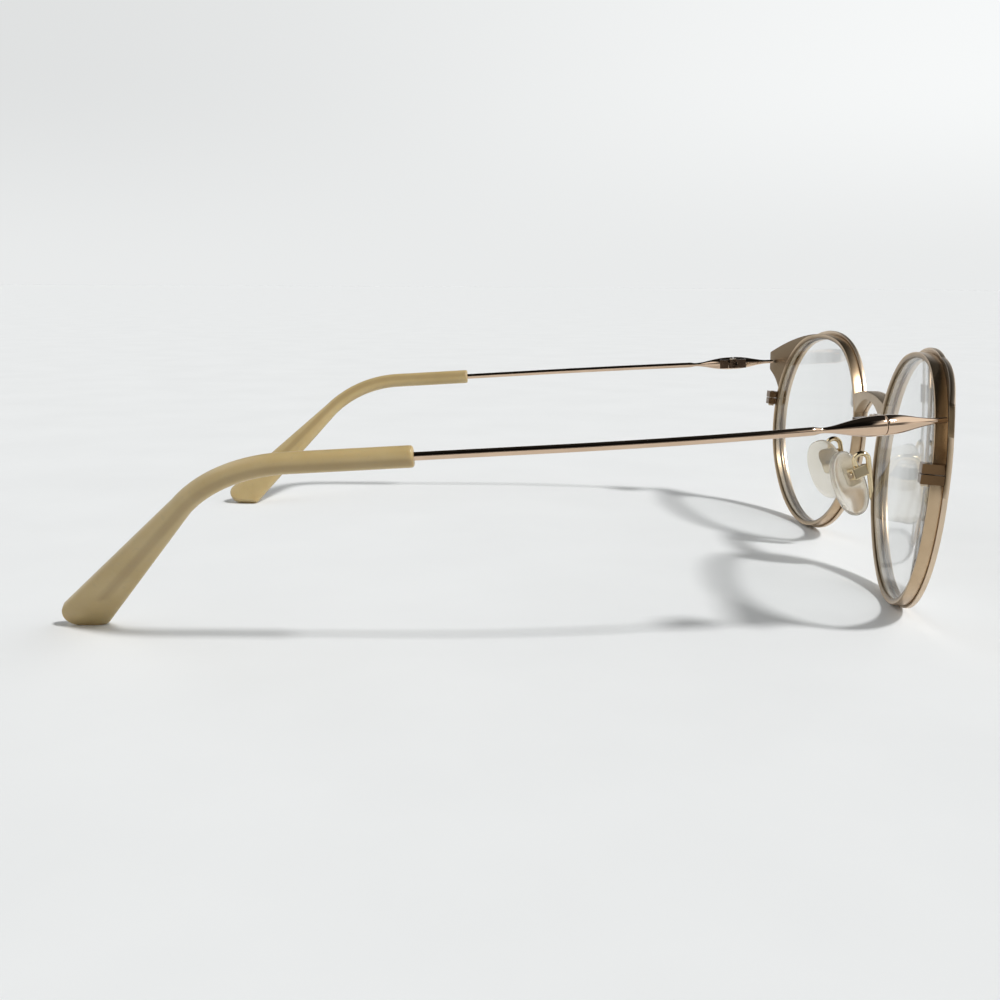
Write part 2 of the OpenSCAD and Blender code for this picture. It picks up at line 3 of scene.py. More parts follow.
import bmesh
import bpy
import numpy as np
from mathutils import Matrix, Vector


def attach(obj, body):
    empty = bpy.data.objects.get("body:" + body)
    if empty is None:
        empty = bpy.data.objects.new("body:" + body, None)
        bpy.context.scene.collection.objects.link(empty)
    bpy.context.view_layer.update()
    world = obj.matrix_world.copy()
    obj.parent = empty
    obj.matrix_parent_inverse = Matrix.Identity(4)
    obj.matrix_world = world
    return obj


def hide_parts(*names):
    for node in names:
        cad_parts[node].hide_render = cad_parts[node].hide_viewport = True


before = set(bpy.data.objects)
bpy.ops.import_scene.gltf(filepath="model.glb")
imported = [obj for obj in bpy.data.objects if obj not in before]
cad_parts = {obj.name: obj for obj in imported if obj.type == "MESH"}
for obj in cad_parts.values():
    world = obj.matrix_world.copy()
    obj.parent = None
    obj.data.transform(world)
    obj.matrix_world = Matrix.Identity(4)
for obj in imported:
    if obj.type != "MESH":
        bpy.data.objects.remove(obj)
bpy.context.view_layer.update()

# Sizes in millimetres and angles in degrees, as in the part's source where it has them. Points are made
# in millimetres and written in metres.
MM = 0.001
CENTRE_SHIFT = -63.087

# Rims, sheet and lenses
LENS_CENTRE = Vector((33.7, -8.63, 22.218))
RIM_HALF = 25.3
RIM_TOP = 21.5
RIM_BOTTOM = 22.0
RIM_SIDE = 20.2
RIM_RISE = 0.8
BASE_RADIUS = 126.0
WRAP = 6.9
TILT = 3.8
SHEET = 0.8
SHEET_EDGE = 0.14
WIRE_WIDTH = 1.0
WIRE_DEPTH = 2.0
LAYER_GAP = 0.02
WIRE_FRONT = SHEET + LAYER_GAP
WIRE_BACK = WIRE_FRONT + WIRE_DEPTH
LENS_THICK = 1.2
LENS_FRONT = (WIRE_FRONT + WIRE_BACK - LENS_THICK) / 2
LENS_BACK = LENS_FRONT + LENS_THICK
LENS_EDGE = -0.55
SLIT_RISE = 4.6
SLIT = 0.14
SHEET_LIP = 0.45
LOWER_LIP = 0.4
BROW = 0.9
CORNER_REACH = 32.0
CORNER_RISE = 13.4
CORNER_HEIGHT = 4.3
RIM_SECTIONS = 420

# Bridge
BRIDGE_RISE = 11.9
BRIDGE_TOP_RADIUS = 40.0
BRIDGE_THICK = 1.65
BRIDGE_UNDER = 13.0
BRIDGE_DEPTH = 2.0
BRIDGE_FRONT = LENS_CENTRE.y - 0.9
SEAM = 0.01

# Hinges and temples
HINGE = Vector((64.7, 9.2, 35.218))
SPLAY = 11.0
SLOPE = 3.7
BARREL_RADIUS = 1.53
BARREL_EDGE = 0.1
SPLIT_GAP = 0.1
FRONT_TAPER = 8.5
FRONT_POWER = 1.1
REAR_TAPER = 9.5
REAR_POWER = 1.35
ROOT_RADIUS = 0.43
ROOT_LENGTH = 1.3
NECK_RADIUS = 0.42
NECK_LENGTH = 1.5
NECK_END = REAR_TAPER + NECK_LENGTH
WIRE_RADIUS = 0.625
BOW_RADIUS = 194.0
BOW_ANGLE = 11.2
STRAIGHT = 37.8
EAR_RADIUS = 23.5
EAR_BEND = 46.8
EAR_LEAN = 32.8
CORE_LENGTH = 26.0
CORE_HALF_SEEN = 0.75
TIP_FRONT = 18.4
TIP_HEIGHT = 3.4
TIP_THICK = 2.7
TIP_EDGE = 0.45
TIP_POWER = 2.3
END_POWER = 1.5
TIP_FLARE = 7.6
TIP_END_THICK = 2.4
TIP_ROUND = 2.6
HEEL_ROUND = 0.8
END_EDGE = 0.45

# Nose pads
PAD_SCREW = Vector((10.3, -2.899, 19.618))
PAD_ANGLES = (-18, -12, -20)
PAD_LENGTH = 13.0
PAD_WIDTH = 7.2
PAD_THICK = 2.4
PAD_BACK = -1.75
PAD_CENTRE = (1.2, -1.8)
PAD_POWER = 2.3
PAD_EDGE = 0.45
PAD_SIDE = 0.75
PAD_CROWN = 3.4
ARM_RADIUS = 0.5
ARM_START = Vector((9.757, -7.799, 13.986))
ARM_TWIST = 5.49
ARM_RUNS = ((1.0, 0), (0.9, 80), (7.6, 0), (1.35, -190), (1.15, 0))

# Steps of a quarter turn at each corner of a rounded rectangle
CORNER_STEPS = 4


# Frames: the same turns and shifts as in the part's source
def turn(rx, ry, rz):
    """Turns about x, then y, then z, in degrees."""
    rot = [Matrix.Rotation(math.radians(a), 3, n) for a, n in ((rz, "Z"), (ry, "Y"), (rx, "X"))]
    return rot[0] @ rot[1] @ rot[2]


LENS_TURN = turn(0, 0, WRAP) @ turn(90 + TILT, 0, 0)
HINGE_TURN = turn(-SLOPE, 0, -SPLAY)
PAD_TURN = turn(*PAD_ANGLES)
EAR_TURN = turn(0, 0, BOW_ANGLE) @ turn(0, EAR_LEAN, 0)
BOW_SIN, BOW_COS = math.sin(math.radians(BOW_ANGLE)), math.cos(math.radians(BOW_ANGLE))
EAR_START = Vector((-BOW_RADIUS * (1 - BOW_COS) - STRAIGHT * BOW_SIN,
                    NECK_END + BOW_RADIUS * BOW_SIN + STRAIGHT * BOW_COS, 0))


def place(points, rotation, origin, shift=CENTRE_SHIFT):
    """Local points, as an array of any shape ending in 3, turned and moved to their place."""
    moved = np.asarray(points, float) @ np.array(rotation).T
    return moved + np.array(origin) + np.array((0, shift, 0))


def at_lens(points):
    return place(points, LENS_TURN, LENS_CENTRE)


def at_hinge(points):
    return place(points, HINGE_TURN, HINGE)


def at_pad(points):
    return place(points, PAD_TURN, PAD_SCREW)


def at_ear(points):
    """Points of the plane of the ear bend, which runs along y and bends towards -z."""
    return at_hinge(place(points, EAR_TURN, EAR_START, 0))


def on_curve(u, v, depth):
    """Points of the lens plane pushed onto the curved front, at a depth behind it."""
    u, v, depth = np.broadcast_arrays(*(np.asarray(x, float) for x in (u, v, depth)))
    w = np.sqrt((BASE_RADIUS - depth) ** 2 - u * u - v * v) - BASE_RADIUS
    return np.stack([u, v, w], -1)


# Meshes
class Shell:
    """Vertices and faces of one piece, gathered from several closed forms."""

    def __init__(self):
        self.verts = []
        self.faces = []
        self.marks = []

    def add(self, rings, closed_path=False, marks=None, mirrored=False, strip_end=False):
        """A loft through rings of points: an array of rings, points in a ring, 3. A strip end is closed
        across the ring's first axis, for an end that is curved."""
        rings = np.asarray(rings, float)
        if mirrored:
            rings = rings * np.array((-1, 1, 1))
        n, m, _ = rings.shape
        start = len(self.verts)
        self.verts.extend(rings.reshape(-1, 3))
        self.marks.extend(np.zeros(n * m) if marks is None else np.asarray(marks, float).ravel())
        for i in range(n if closed_path else n - 1):
            a, b = start + i * m, start + (i + 1) % n * m
            for k in range(m):
                q = (k + 1) % m
                self.faces.append((a + k, a + q, b + q, b + k))
        if not closed_path:
            self.faces.append(tuple(start + k for k in reversed(range(m))))
            last = start + (n - 1) * m
            if strip_end:
                half = m // 2
                for k in range(-m // 4, m // 4):
                    quad = [last + i % m for i in (k, k + 1, half - k - 1, half - k)]
                    self.faces.append(tuple(dict.fromkeys(quad)))
            else:
                self.faces.append(tuple(last + k for k in range(m)))
        return self

    def make(self, name, side=1, sharp_angle=40):
        """The finished object: side 1 is the left one, -1 its mirror image."""
        verts = np.array(self.verts) * np.array((side, 1, 1)) * MM
        mesh = bpy.data.meshes.new(name)
        mesh.from_pydata([tuple(v) for v in verts], [], self.faces)
        bm = bmesh.new()
        bm.from_mesh(mesh)
        bmesh.ops.recalc_face_normals(bm, faces=bm.faces)
        bm.to_mesh(mesh)
        bm.free()
        mesh.shade_smooth()
        mesh.set_sharp_from_angle(angle=math.radians(sharp_angle))
        if any(self.marks):
            layer = mesh.attributes.new("mark", "FLOAT", "POINT")
            layer.data.foreach_set("value", np.array(self.marks, np.float32))
        obj = bpy.data.objects.new(name, mesh)
        bpy.context.scene.collection.objects.link(obj)
        return obj


def circle(radius, count):
    a = np.linspace(0, 2 * math.pi, count, endpoint=False)
    return np.stack([radius * np.cos(a), radius * np.sin(a)], -1)


def superellipse(a, b, power, count):
    """Points round an oval, which is squarer the higher its power is."""
    t = np.linspace(0, 2 * math.pi, count, endpoint=False)
    x, y = (np.sign(v) * np.abs(v) ** (2 / power) for v in (np.cos(t), np.sin(t)))
    return np.stack([a * x, b * y], -1)


def quarter(steps):
    """Angles of a quarter turn."""
    return np.linspace(0, math.pi / 2, steps + 1)


def rounded_rect(x0, x1, y0, y1, r):
    """Closed outline of a rectangle with rounded corners."""
    corners = ((x1 - r, y1 - r, 0), (x0 + r, y1 - r, 90), (x0 + r, y0 + r, 180), (x1 - r, y0 + r, 270))
    return np.array([(cx + r * math.cos(a + math.radians(a0)), cy + r * math.sin(a + math.radians(a0)))
                     for cx, cy, a0 in corners for a in quarter(CORNER_STEPS)])


def sections_along(path, outline, up):
    """Rings of one outline set square on a path; up is near the direction of its second axis."""
    path = np.asarray(path, float)
    tangent = np.gradient(path, axis=0)
    tangent /= np.linalg.norm(tangent, axis=1)[:, None]
    side = np.cross(tangent, np.broadcast_to(np.asarray(up, float), path.shape))
    side /= np.linalg.norm(side, axis=1)[:, None]
    top = np.cross(side, tangent)
    aside = outline[None, :, :1] * side[:, None, :]
    above = outline[None, :, 1:] * top[:, None, :]
    return path[:, None, :] + aside + above


def planar_path(segments, step):
    """Points and headings of a run in the y-z plane. A segment is (length, 0) for a straight one, or
    (radius, turn in degrees)."""
    y, z, heading = 0.0, 0.0, 0.0
    points, headings = [(0, y, z)], [heading]
    for size, bend in segments:
        length = size * abs(math.radians(bend)) if bend else size
        count = max(int(math.ceil(length / step)), 2)
        for _ in range(count):
            half = math.radians(bend) / count / 2
            chord = 2 * size * math.sin(abs(half)) if bend else length / count
            heading += half
            y += chord * math.cos(heading)
            z += chord * math.sin(heading)
            heading += half
            points.append((0, y, z))
            headings.append(heading)
    return np.array(points), np.array(headings)


def revolve_y(profile, sign=1, count=56):
    """Rings about the y axis from (radius, distance) pairs."""
    ring = circle(1, count)
    return np.array([[(r * x, sign * y, r * z) for x, z in ring] for r, y in profile])


def joining_radius(e, r, t):
    """Radius of the arc that touches two circles of radius r, each e from the middle, and rises to t."""
    return (e * e + t * t - r * r) / (2 * (t - r))


class FourArc:
    """Two side circles joined by two large arcs."""

    def __init__(self, half, side, rise, top, bottom):
        e = half - side
        rt, rb = joining_radius(e, side, top - rise), joining_radius(e, side, bottom + rise)
        ct, cb = top - rt, rb - bottom
        high, low = math.atan2(rise - ct, e), math.atan2(rise - cb, e)
        self.arcs = (
            (e, rise, side, low, high),
            (0, ct, rt, high, math.pi - high),
            (-e, rise, side, math.pi - high, math.pi - low),
            (0, cb, rb, math.pi - low, 2 * math.pi + low),
        )

    def points(self, count):
        """Evenly spaced points and their outward normals."""
        lengths = [r * (b - a) for _, _, r, a, b in self.arcs]
        out = []
        for k in range(count):
            s = sum(lengths) * k / count
            for (cx, cy, r, a, _), length in zip(self.arcs, lengths):
                if s <= length:
                    t = a + s / r
                    out.append((cx + r * math.cos(t), cy + r * math.sin(t), math.cos(t), math.sin(t)))
                    break
                s -= length
        return np.array(out)

    def reach(self, angle):
        """Distance from the middle to the outline in one direction."""
        c, s = math.cos(angle), math.sin(angle)
        best = 0.0
        for cx, cy, r, a, b in self.arcs:
            t = c * cx + s * cy + math.sqrt(max(r * r - (c * cy - s * cx) ** 2, 0))
            hit = math.atan2(t * s - cy, t * c - cx)
            if (hit - a + 1e-4) % (2 * math.pi) <= b - a + 2e-4:
                best = max(best, t)
        return best


RIM = FourArc(RIM_HALF, RIM_SIDE, RIM_RISE, RIM_TOP, RIM_BOTTOM)


# Front sheet
def curve3(a, b, c, count):
    """Points of a curve from a to c that is drawn towards b."""
    t = np.linspace(0, 1, count)[:, None]
    a, b, c = (np.array(x, float) for x in (a, b, c))
    return (1 - t) ** 2 * a + 2 * t * (1 - t) * b + t * t * c


def ray_reach(angle, line):
    """Distance to the farthest crossing of a polyline in one direction, or 0."""
    d = np.array((math.cos(angle), math.sin(angle)))
    side = line @ np.array((-d[1], d[0]))
    best = 0.0
    for i in np.nonzero((side[:-1] * side[1:] <= 0) & (side[:-1] != side[1:]))[0]:
        t = side[i] / (side[i] - side[i + 1])
        best = max(best, float((line[i] + t * (line[i + 1] - line[i])) @ d))
    return best


def temple_corner():
    """Outline of the pointed corner towards the temple, from the brow to the rim's side."""
    high, low = CORNER_RISE + CORNER_HEIGHT / 2, CORNER_RISE - CORNER_HEIGHT / 2
    top = RIM_TOP + BROW
    low_x = RIM_HALF + SHEET_LIP + (CORNER_REACH - RIM_HALF - SHEET_LIP) / 4
    r = 0.35
    # The brow, the upper and the lower end of the corner, and the sweep back to the rim
    return np.concatenate([
        curve3((8, top - 1.05), (20, top - 1.7), (CORNER_REACH - 0.3 - r, high + 0.13), 40),
        curve3((CORNER_REACH - 0.3, high), (CORNER_REACH - 0.25, high), (CORNER_REACH - 0.2, high - r), 5),
        curve3((CORNER_REACH, low + r), (CORNER_REACH, low), (CORNER_REACH - 0.25, low - 0.22), 5),
        curve3((CORNER_REACH - 0.5, low - 0.4), (low_x, low - 3), (RIM_HALF + SHEET_LIP - 0.1, 0.5), 40),
    ])


def sheet_section():
    """Round the sheet's cross-section: share of the way from hole to edge, growth and depth."""
    edge = SHEET_EDGE
    q = quarter(3)
    outer = [(1, edge * (math.sin(a) - 1), edge * (1 - math.cos(a))) for a in q]
    outer += [(1, edge * (math.cos(a) - 1), SHEET - edge * (1 - math.sin(a))) for a in q]
    inner = [(0, edge * (1 - math.sin(a)), SHEET - edge * (1 - math.cos(a))) for a in q]
    inner += [(0, edge * (1 - math.cos(a)), edge * (1 - math.sin(a))) for a in q]
    across = (0.25, 0.5, 0.75)
    return outer + [(1 - t, 0, SHEET) for t in across] + inner + [(t, 0, 0) for t in across]


def sheet_rings():
    """The sheet round one lens, as rings of its cross-section, and marks where it is coloured darker: the
    back of the temple corner and the corner's flat end."""
    outer = FourArc(RIM_HALF + SHEET_LIP, RIM_SIDE + LOWER_LIP, RIM_RISE,
                    RIM_TOP + BROW, RIM_BOTTOM + LOWER_LIP)
    grow = -WIRE_WIDTH
    hole_line = FourArc(RIM_HALF + grow, RIM_SIDE + grow, RIM_RISE, RIM_TOP + grow, RIM_BOTTOM + grow)
    corner = temple_corner()
    at_points = np.arctan2(corner[:, 1], corner[:, 0])
    even = np.linspace(-math.pi, math.pi, RIM_SECTIONS, endpoint=False)
    angles = np.unique(np.round(np.concatenate([even, at_points]), 5))
    least_step = 0.001
    angles = angles[np.concatenate([[True], np.diff(angles) > least_step])]
    hole = np.array([hole_line.reach(a) for a in angles])
    rim = np.array([outer.reach(a) for a in angles])
    reach = np.maximum(rim, [ray_reach(a, corner) for a in angles])
    height = reach * np.sin(angles)
    # The corner's flat end, with a little of the edges beside it
    deep, beside = 0.8, 0.3
    at_tip = reach * np.cos(angles) > CORNER_REACH - deep
    end = at_tip & (np.abs(height - CORNER_RISE) < CORNER_HEIGHT / 2 + beside)
    # The darker colour starts a little inside the rim's outline, and only where the corner stands out of it
    inside, stands_out = 0.6, 0.05
    columns, marks = [], []
    for t, out, depth in sheet_section():
        r = hole + (reach - hole) * t + out
        columns.append(on_curve(r * np.cos(angles), r * np.sin(angles), depth))
        darkening = np.clip(r - rim + inside, 0, 1) * (depth > SHEET / 2) * (reach > rim + stands_out)
        marks.append(np.maximum(darkening, end) if t == 1 else darkening)
    return at_lens(np.stack(columns, 1)), np.stack(marks, 1)


def rim_edge_x(z):
    """Distance from the middle plane to the rim wire's outside, at a height near the bridge."""
    v = z - LENS_CENTRE.z
    cx, cy, r = RIM.arcs[2][:3]
    u = cx - math.sqrt(r * r - (v - cy) ** 2)
    return LENS_CENTRE.x + u * math.cos(math.radians(WRAP))


def bridge_rings(front, back, into, edge):
    """The arch between the rims; its ends follow the rim wires and go a little way into them."""
    top_middle = LENS_CENTRE.z + BRIDGE_RISE - BRIDGE_TOP_RADIUS
    under_middle = LENS_CENTRE.z + BRIDGE_RISE - BRIDGE_THICK - BRIDGE_UNDER

    def top(x):
        return top_middle + math.sqrt(BRIDGE_TOP_RADIUS ** 2 - x * x)

    def under(x):
        return under_middle + math.sqrt(BRIDGE_UNDER ** 2 - x * x)

    def end_of(line):
        """Where a line of the arch has gone into the rim wire, found in steps from a first guess."""
        x, steps = 9.5, 20
        for _ in range(steps):
            x = rim_edge_x(line(x)) + into
        return x

    top_end, under_end = end_of(top), end_of(under)
    rings = []
    for s in np.linspace(-1, 1, 57):
        xt, xu = s * top_end, s * under_end
        zt, zu = top(xt), under(xu)
        height = zt - zu
        outline = rounded_rect(front, back, 0, height, edge)
        rings.append([(xu + (xt - xu) * h / height, y + CENTRE_SHIFT, zu + h) for y, h in outline])
    return rings


def front_sheet():
    shell = Shell()
    rings, marks = sheet_rings()
    shell.add(rings, closed_path=True, marks=marks)
    shell.add(rings, closed_path=True, marks=marks, mirrored=True)
    shell.add(bridge_rings(BRIDGE_FRONT + SEAM, BRIDGE_FRONT + SHEET - SEAM, into=0.45, edge=0.12))
    return shell.make("front_sheet")


def bridge_arch():
    start = BRIDGE_FRONT + SHEET + SEAM
    return Shell().add(bridge_rings(start, start + BRIDGE_DEPTH, into=0.2, edge=0.25)).make("bridge_arch")


# Rim wires and lenses
def wire_section():
    """Outline of the rim wire's section as (growth, depth), with the lens groove on its inner side."""
    edge, groove_depth, play = 0.16, 0.5, 0.05
    outline = rounded_rect(-WIRE_WIDTH, 0, WIRE_FRONT, WIRE_BACK, edge)
    # The outline starts with its outer back and inner back corners; the groove comes after them
    split = 2 * (CORNER_STEPS + 1)
    groove = [(-WIRE_WIDTH, LENS_BACK + play), (-WIRE_WIDTH + groove_depth, LENS_BACK + play),
              (-WIRE_WIDTH + groove_depth, LENS_FRONT - play), (-WIRE_WIDTH, LENS_FRONT - play)]
    return np.concatenate([outline[:split], groove, outline[split:]])


def rim_wire(name, side):
    """The rim wire, open at the cut between the lock blocks, with painted shade marked on its inner side."""
    p = RIM.points(RIM_SECTIONS * 4)
    near = (np.abs(p[:, 1] - SLIT_RISE) < SLIT / 2) & (p[:, 0] > 0)
    start = int(np.nonzero(near)[0][-1]) + 1
    p = np.roll(p, -start, axis=0)[:-int(near.sum())]
    p = p[np.unique(np.linspace(0, len(p) - 1, RIM_SECTIONS).astype(int))]
    section = wire_section()
    u = p[:, None, 0] + section[None, :, 0] * p[:, None, 2]
    v = p[:, None, 1] + section[None, :, 0] * p[:, None, 3]
    # Painted shade: the inner side and the lens groove darken, starting half a millimetre in from the
    # outside
    unshaded, fade = 0.5, 0.3
    darkening = np.broadcast_to(np.clip(-section[:, 0] - unshaded, 0, fade) / fade, u.shape)
    return Shell().add(at_lens(on_curve(u, v, section[None, :, 1])), marks=darkening).make(name, side)


def clear_lens(name, side):
    """A plano lens: two curved faces and a thin ground edge."""
    count, bevel = 240, 0.1
    p = RIM.points(count)
    edge_u, edge_v = p[:, 0] + LENS_EDGE * p[:, 2], p[:, 1] + LENS_EDGE * p[:, 3]
    shares = np.concatenate([[0.004], np.linspace(0.08, 0.996, 16), [1]])
    rings = []
    for depth, inward, run in ((LENS_FRONT, bevel, shares), (LENS_BACK, -bevel, shares[::-1])):
        rings += [on_curve(edge_u * t, edge_v * t, depth if t < 1 else depth + inward) for t in run]
    ground = np.repeat(np.concatenate([shares, shares[::-1]]) == 1, count)
    return Shell().add(at_lens(np.array(rings)), marks=ground).make(name, side, 50)


# Hinge barrels, temples and tips
def spindle(full, thin, t, power):
    """Radius at a share t of a taper from full to thin."""
    return thin + (full - thin) * (1 + np.cos(math.pi * np.power(t, power))) / 2


def barrel_profile(thin, taper, power):
    """Profile of a barrel from its flat end at the split, with a small rounded edge."""
    start = SPLIT_GAP / 2
    profile = [(0.02, start)]
    for a in quarter(3):
        drop, back = BARREL_EDGE * (1 - math.sin(a)), BARREL_EDGE * (1 - math.cos(a))
        profile.append((BARREL_RADIUS - drop, start + back))
    t = np.linspace(0.04, 1, 40)
    return profile + list(zip(spindle(BARREL_RADIUS, thin, t, power), taper * t))


def front_barrel(name, side):
    """The front half of a hinge's spindle, with a thin root that meets the sheet."""
    profile = barrel_profile(ROOT_RADIUS, FRONT_TAPER, FRONT_POWER)
    profile.append((ROOT_RADIUS, FRONT_TAPER + ROOT_LENGTH))
    return Shell().add(at_hinge(revolve_y(profile, -1))).make(name, side)


def temple_wire(name, side):
    """The rear half of the spindle, its thin neck, and the wire, which runs on as the core of the tip."""
    profile = barrel_profile(NECK_RADIUS, REAR_TAPER, REAR_POWER)
    for t in np.linspace(0.1, 1, 12):
        ease = t * t * (3 - 2 * t)
        radius = NECK_RADIUS + (WIRE_RADIUS - NECK_RADIUS) * ease
        profile.append((radius, REAR_TAPER + NECK_LENGTH * t))
    bow = np.radians(np.linspace(0, BOW_ANGLE, 48))
    line = np.stack([-BOW_RADIUS * (1 - np.cos(bow)), NECK_END + BOW_RADIUS * np.sin(bow), 0 * bow], -1)
    ear, _ = planar_path([(STRAIGHT, 0), (EAR_RADIUS, -EAR_BEND), (CORE_LENGTH, 0)], 1.0)
    ear[:, 1] -= STRAIGHT
    path = np.concatenate([at_hinge(line[:-1]), at_ear(ear)])
    tube = sections_along(path, circle(WIRE_RADIUS, 32), (0.4, 0, 1))
    return Shell().add(at_hinge(revolve_y(profile))).add(tube).make(name, side)


class TipEnd:
    """The flared end in its own plane: s runs along the blade from the end of the ear bend, h across it."""

    def __init__(self):
        bend = math.radians(EAR_BEND)
        self.start = np.array((0, EAR_RADIUS * math.sin(bend), -EAR_RADIUS * (1 - math.cos(bend))))
        self.along = np.array((0, math.cos(bend), -math.sin(bend)))
        self.across = np.array((0, math.sin(bend), math.cos(bend)))
        top = at_ear(self.start)[2]
        fall = top - at_ear(self.start + self.along)[2]
        rise = at_ear(self.start + self.across)[2] - top
        slope = math.hypot(fall, rise)
        down = np.array((fall, -rise)) / slope
        self.corners = []
        for radius, side in ((HEEL_ROUND, -1), (TIP_ROUND, 1)):
            h = side * (TIP_FLARE / 2 - radius)
            lift = radius * slope + (TIP_END_THICK / 2 - END_EDGE) * math.sqrt(1 - slope ** 2)
            self.corners.append((np.array(((top - lift + rise * h) / fall, h)), radius))
        self.flat = [centre + radius * down for centre, radius in self.corners]

    def reach(self, h):
        """How far the end goes at a height across the blade."""
        best = -1e9
        for (s, middle), radius in self.corners:
            if abs(h - middle) <= radius:
                best = max(best, s + math.sqrt(radius ** 2 - (h - middle) ** 2))
        (s0, h0), (s1, h1) = self.flat
        if h0 <= h <= h1:
            best = max(best, s0 + (s1 - s0) * (h - h0) / (h1 - h0))
        return best

    def place(self, x, s, h):
        """Points at x through the blade, s along it and h across it."""
        aside = self.start + x[:, None] * np.array((1, 0, 0))
        return aside + s[:, None] * self.along + h[:, None] * self.across


def temple_tip(name, side):
    """Flared tip: oval in front, flat and wide at the end, with a blunt end that stands on the ground."""
    count = 72
    rings, marks = [], []

    def add_oval(point, heading, half_thick, half_height):
        outline = superellipse(half_thick, half_height, TIP_POWER, count)
        across = np.array((0, -math.sin(heading), math.cos(heading)))
        rings.append(point + outline[:, :1] * np.array((1, 0, 0)) + outline[:, 1:] * across)
        marks.append(np.exp(-(outline[:, 1] / CORE_HALF_SEEN) ** 4))

    line, headings = planar_path([(TIP_FRONT, 0), (EAR_RADIUS, -EAR_BEND)], 0.7)
    line[:, 1] -= TIP_FRONT
    for a in quarter(4)[:-1]:
        drop = TIP_EDGE * (1 - math.sin(a))
        start = line[0] + np.array((0, TIP_EDGE * (1 - math.cos(a)), 0))
        add_oval(start, 0, TIP_THICK / 2 - drop, TIP_HEIGHT / 2 - drop)
    for point, heading in zip(line, headings):
        if point[1] > TIP_EDGE - TIP_FRONT:
            add_oval(point, heading, TIP_THICK / 2, TIP_HEIGHT / 2)

    end = TipEnd()
    half_end = TIP_FLARE / 2
    # Shares of the blade's height at which its reach and its slant are taken, and the slant's half step
    for_reach, for_slant, probe = 0.9995, 0.9, 0.02

    def add_flared(f, grow=0.0, thin=0.0):
        """One ring at a share f of the flare. The rings of the end, at f = 1, grow as they get thinner."""
        outline = superellipse(1, 1, TIP_POWER + END_POWER * f, count)
        h = outline[:, 1] * (TIP_HEIGHT / 2 + (half_end - TIP_HEIGHT / 2) * f)
        x = outline[:, 0] * (TIP_THICK / 2 + (TIP_END_THICK - TIP_THICK) / 2 * f - thin)
        s = np.array([end.reach(v * half_end * for_reach) for v in outline[:, 1]]) * f
        if f == 1:
            low, high = (np.array([end.reach((v + d) * half_end * for_slant) for v in outline[:, 1]])
                         for d in (-probe, probe))
            slant = (high - low) / (2 * probe * half_end * for_slant)
            norm = np.hypot(1, slant)
            s = s - (END_EDGE - grow) / norm
            h = h + (END_EDGE - grow) * slant / norm * (1 - np.abs(outline[:, 1]) ** 8)
        rings.append(end.place(x, s, h))
        marks.append(np.exp(-(h / CORE_HALF_SEEN) ** 4) * np.clip(CORE_LENGTH - s, 0, 1))

    for f in np.linspace(0.04, 0.96, 26):
        add_flared(f)
    for a in quarter(5):
        add_flared(1, END_EDGE * math.sin(a), END_EDGE * (1 - math.cos(a)))
    return Shell().add(at_ear(np.array(rings)), marks=marks, strip_end=True).make(name, side, 60)


# Nose pads and their arms
def pad_wire(name, side):
    """The pad arm: from its foot behind the sheet back, up, and over in a hook to the pad box."""
    line, _ = planar_path(ARM_RUNS, 0.2)
    path = place(line, turn(0, ARM_TWIST, 0), ARM_START)
    return Shell().add(sections_along(path, circle(ARM_RADIUS, 24), (1, 0, 0))).make(name, side)


def soft_pad(name, side):
    """A clear oval pad: a soft rim, a domed face towards the nose and a flat back."""
    rings = []

    def oval(inset, x):
        outline = superellipse(PAD_WIDTH / 2 - inset, PAD_LENGTH / 2 - inset, PAD_POWER, 64)
        cy, cz = PAD_CENTRE
        rings.append([(x, cy + y, cz + z) for y, z in outline])

    for inset in (PAD_CROWN, 2.2, 1.2):
        oval(inset, PAD_BACK)
    for a in quarter(5):
        oval(PAD_EDGE * (1 - math.sin(a)), PAD_BACK - PAD_EDGE * (1 - math.cos(a)))
    dome = PAD_THICK - PAD_SIDE
    for a in quarter(14)[1:]:
        oval(PAD_CROWN * (1 - math.cos(a)) ** 0.9, PAD_BACK - PAD_SIDE - dome * math.sin(a))
    return Shell().add(at_pad(np.array(rings))).make(name, side, 60)


def pad_core(name, side):
    """The stiff insert inside the pad, with the eye that the pad screw goes through."""
    rings = []
    # Place, half width and half height of each section: four of the plate, then four of the eye
    steps = ((-2.75, 1.5, 2.3), (-2.6, 1.75, 2.6), (-2.3, 1.75, 2.6), (-2.1, 1.5, 2.3), (-1.95, 1.0, 0.62),
             (-0.3, 1.0, 0.6), (0.2, 1.0, 0.55), (0.45, 0.95, 0.4))
    for x, half_y, half_z in steps:
        outline = rounded_rect(-half_y, half_y, -half_z, half_z, min(half_y, half_z) * 0.45)
        rings.append([(x, y, z) for y, z in outline])
    return Shell().add(at_pad(np.array(rings))).make(name, side, 50)


